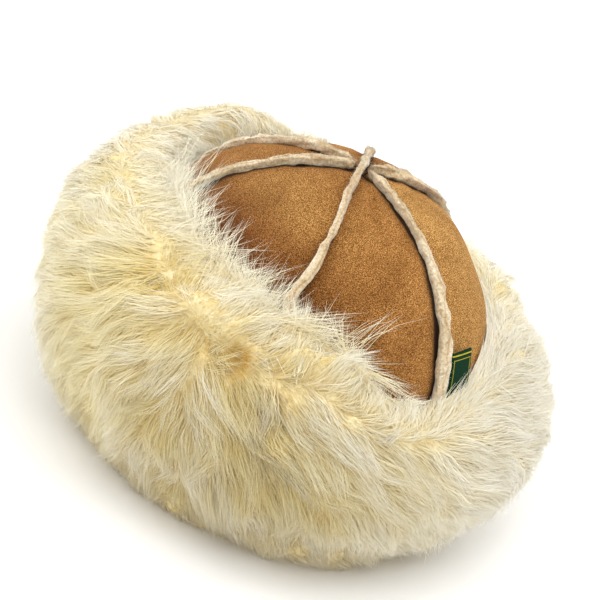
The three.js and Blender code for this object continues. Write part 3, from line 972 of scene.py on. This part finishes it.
def grey_shade_share(bearing, row):
    """How much grey shade is painted on the wool, from 0 to 1: most at the right side and low down; also in
    the lower middle, round the whorl's hollow and where the wool lies evenly.
    """
    turn = from_left(bearing)
    low = 0.75 * ease((3.2 - row) / 2.4) + 0.8 * hill(turn, 48, 32) * hill(row, 3.5, 1.6)
    low += 0.45 * hill(turn, -46, 26) * hill(row, 5.8, 2)
    low += 0.25 * hill(turn, 55, 30) * hill(row, 6.2, 1.4)
    whorl = near_whorl(cuff_point(bearing, row), 0.005)
    right = 0.35 * hill(turn, 120, 30) * ease((row - 4) / 3)
    return low + 0.5 * whorl + right + 0.26 * calm(bearing) * ease((row - 2.5) / 2)


# Fleece bed: the dense felted wool next to the skin of the cuff, which the locks hide. It is closed round the
# rim of the crown, where the cuff is sewn on.
bed_depth = 0.0052
bed_floor_gap = 0.0012
rim_gap = 0.0008
lip_draw = 0.965  # the lip under the rim lies this much nearer to the middle
stations = 200
bearings = np.linspace(0, 2 * math.pi, stations, endpoint=False)
rings = []
for level in np.arange(0, 9.6, 0.25):
    top, outwards = wool_top(bearings, np.full(stations, level))
    point = top - outwards * bed_depth
    point[:, 2] = np.maximum(point[:, 2], bed_floor_gap)
    rings.append(off_crown(point, crown_gap))
top_heights = rings[-1][:, 2]
rim_height = rim_level - rim_gap
for share in (0.15, 0.4, 0.65, 0.85, 1.0):
    rings.append(crown_point(bearings, top_heights * (1 - share) + rim_height * share, rim_gap))
lip = rings[-1].copy()
lip[:, :2] *= lip_draw
under = lip.copy()
under[:, 2] = bed_floor_gap
rings += [lip, under]
across = len(rings)
faces = []
for s in range(stations):
    for r in range(across):
        here = s * across
        beside = (s + 1) % stations * across
        faces.append((here + r, beside + r, beside + (r + 1) % across, here + (r + 1) % across))
bed_mesh = bpy.data.meshes.new("fleece_bed")
bed_mesh.from_pydata(np.stack(rings, axis=1).reshape(-1, 3).tolist(), [], faces)
bed_mesh.update()
bed_mesh.polygons.foreach_set("use_smooth", np.ones(len(faces), dtype=bool))
bed = bpy.data.objects.new("fleece_bed", bed_mesh)
bpy.context.scene.collection.objects.link(bed)
dense_wool = plain_material("dense_wool", (0.86, 0.72, 0.42), 0.95)
tree = dense_wool.node_tree
shader = tree.nodes["Principled BSDF"]
shader.inputs["Specular IOR Level"].default_value = 0.1
# ochre, darker than the hair tips: partly the wool's own tone next to the skin, partly painted shade for the
# gaps between locks
colour = ramp(tree, noise(tree, 160, 4, 0.7), [(0.3, (0.74, 0.55, 0.2)), (0.7, (0.93, 0.83, 0.52))])
# painted shade: darker in the whorl's hollow
in_whorl = ramp(tree, attribute(tree, "in_whorl"), [(0.0, (1.0, 1.0, 1.0)), (0.6, (0.66, 0.5, 0.27))])
tree.links.new(blend_colours(tree, 1.0, colour, in_whorl, "MULTIPLY"), shader.inputs["Base Color"])
bump(tree, shader, noise(tree, 500, 3, 0.7), 0.001, 0.8)
mark(bed_mesh, "in_whorl", near_whorl(read_points(bed_mesh), 0.009))
bed_mesh.materials.append(dense_wool)
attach(bed, "root")
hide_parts("fleece_cuff")

# The big tufts that long wool falls into, as paths that the locks lean to. They overlap down the fleece.
tuft_count = 560
draw = np.random.default_rng(41)
bearing, row = spread_over_cuff(tuft_count, 0.5, 9.3, 44)
tufts, _ = courses(
    bearing,
    row,
    depth=np.full(tuft_count, 0.0045),
    length=0.031 * (1 + 0.15 * draw.normal(size=tuft_count)),
    lift=0.0005 + 0.0045 * np.abs(draw.normal(size=tuft_count)) * (1 - 0.6 * calm(bearing)),
    stray=math.radians(22) * draw.normal(size=tuft_count),
    curl=0.7 * draw.normal(size=tuft_count),
    clearance=np.full(tuft_count, 0.002),
)


def strands_in_thirds(name, bearing, owner, strands, radius, normals, marks):
    """Three meshes of hairs, each for a third of the way round."""
    third = (np.degrees(bearing) % 360 // 120).astype(int)[owner]
    for number in range(3):
        here = third == number
        marks_here = {key: values[here] for key, values in marks.items()}
        strand_mesh(f"{name}_{number + 1}", strands[here], radius[here], normals[here], marks_here, wool)


# Undercoat: the short fine wool that grows close to the cuff's skin and shows between the locks. Its hairs
# are nearly straight and cover the bed.
under_count = 68000
bearing, row = spread_over_cuff(under_count, 0.2, 9.5, 42)
place = cuff_point(bearing, row)
stray = math.radians(22) * drift(place, 0.022, 43) + math.radians(16) * draw.normal(size=under_count)
length = 0.0155 * (1 + 0.2 * draw.normal(size=under_count))
curl = 0.3 * draw.normal(size=under_count)
strands, radius, normals, owner, _ = locks_of_hair(
    bearing,
    row,
    depth=np.full(under_count, 0.0048),
    length=length,
    lift=0.0006 + 0.0007 * draw.normal(size=under_count),
    stray=stray,
    curl=curl,
    pull=0.35,
    per_lock=1,
    spread=0.0004,
    gather=0.2,
    width=0.00021,
    segments=1,
    draw=draw,
    bend=0.07,
)
# painted shade: the undercoat, which shows in the gaps between locks, is a little yellower
warm = (0.08 + warmth(bearing, row) + 0.05 * draw.normal(size=under_count))[owner]
grey_shade = grey_shade_share(bearing, row)[owner]
marks = {"warm": warm, "grey_shade": grey_shade}
strands_in_thirds("fleece_undercoat", bearing, owner, strands, radius, normals, marks)

# Long wool: the locks that make the face of the fleece. They lie the way the wool is combed, overlap like
# shingles and come to points.
lock_count = 3000
bearing, row = spread_over_cuff(lock_count, 0.5, 9.1, 31)
place = cuff_point(bearing, row)
stray = math.radians(20) * drift(place, 0.035, 33) + math.radians(14) * draw.normal(size=lock_count)
stray *= 1 - 0.4 * calm(bearing)
length = 0.026 * (1 + 0.15 * draw.normal(size=lock_count) + 0.15 * drift(place, 0.03, 34))
curl = 0.6 * draw.normal(size=lock_count) * (1 - 0.5 * calm(bearing))
turn = from_left(bearing)
over = ease((row - read_round(bearing, parting, 1)) / 0.6 + 0.3)
length *= 1 + over * (0.75 * hill(turn, 2, 48) - 0.15)
lift = 0.0022 + 0.002 * draw.normal(size=lock_count) * (1 - 0.6 * calm(bearing))
pull = 0.5 + 0.3 * hill(turn, 52, 36) * (1 - over)
strands, radius, normals, owner, fringe = locks_of_hair(
    bearing,
    row,
    depth=np.full(lock_count, 0.0055),
    length=length,
    lift=lift,
    stray=stray,
    curl=curl,
    pull=pull,
    per_lock=13,
    spread=0.0021,
    gather=0.75,
    width=0.0002,
    segments=2,
    draw=draw,
    bend=0.07,
)
warm = (warmth(bearing, row) + 0.13 * draw.normal(size=lock_count))[owner]
behind = (hill(turn, 48, 36) * hill(row, 4.2, 1.9))[owner]
# painted shade: hairs at a lock's fringe lie deeper and are made yellower and greyer
warm += (0.18 + 0.22 * behind) * fringe
grey_shade = (grey_shade_share(bearing, row) + 0.1 * draw.normal(size=lock_count))[owner] + (0.08 + 0.16 * behind) * fringe
marks = {"warm": warm, "grey_shade": grey_shade}
strands_in_thirds("fleece_locks", bearing, owner, strands, radius, normals, marks)

# Edge locks: the wool at the upper edge of the cuff, which runs on over the suede in loose spread locks, most
# on the left.
edge_count = 1250
bearing, row = spread_over_cuff(edge_count, 8.0, 9.9, 81)
turn = from_left(bearing)
kept = draw.uniform(size=len(turn)) < 0.12 + 0.88 * np.exp(-(((turn - 25) / 62) ** 4))
bearing, row, turn = bearing[kept], row[kept], turn[kept]
edge_count = len(turn)
long_part = 1.1 * hill(turn, -8, 42) + 0.72 * hill(turn, 61, 20)
length = (0.017 + 0.034 * long_part) * (1 + 0.2 * draw.normal(size=edge_count))
place = cuff_point(bearing, row)
stray = math.radians(24) * drift(place, 0.03, 82) + math.radians(12) * draw.normal(size=edge_count)
curl = 0.9 * drift(place, 0.035, 83) + 0.6 * draw.normal(size=edge_count)
strands, radius, normals, owner, _ = locks_of_hair(
    bearing,
    row,
    depth=np.full(edge_count, 0.004),
    length=length,
    lift=0.0028 + 0.002 * draw.normal(size=edge_count),
    stray=stray,
    curl=curl,
    pull=0.3,
    per_lock=17,
    spread=0.0036,
    gather=0.75,
    width=0.00013,
    segments=3,
    draw=draw,
    bend=0.1,
)
warm = (0.24 + 0.16 * draw.uniform(size=edge_count))[owner]
strand_mesh("fleece_edge_locks", strands, radius, normals, {"warm": warm}, wool)

# Wisps: thin groups of long hairs that have strayed from the edge of the fleece over the suede, and are held
# only at their roots in the cuff.
wisp_count = 230
bearing, row = spread_over_cuff(wisp_count, 8.0, 9.5, 71)
place = cuff_point(bearing, row)
stray = math.radians(24) * drift(place, 0.03, 82) + math.radians(20) * draw.normal(size=wisp_count)
curl = 0.9 * drift(place, 0.035, 83) + 0.9 * draw.normal(size=wisp_count)
turn = from_left(bearing)
length = 0.018 * (1 + 0.25 * draw.normal(size=wisp_count)) * (1 + 0.9 * hill(turn, 8, 48))
strands, radius, normals, owner, _ = locks_of_hair(
    bearing,
    row,
    depth=np.full(wisp_count, 0.004),
    length=length,
    lift=0.001 + 0.0012 * draw.normal(size=wisp_count),
    stray=stray,
    curl=curl,
    pull=0.3,
    per_lock=12,
    spread=0.0028,
    gather=0.5,
    width=0.00013,
    segments=3,
    draw=draw,
    bend=0.11,
)
warm = 0.1 + 0.1 * draw.uniform(size=len(owner))
strand_mesh("fleece_wisps", strands, radius, normals, {"warm": warm}, wool)
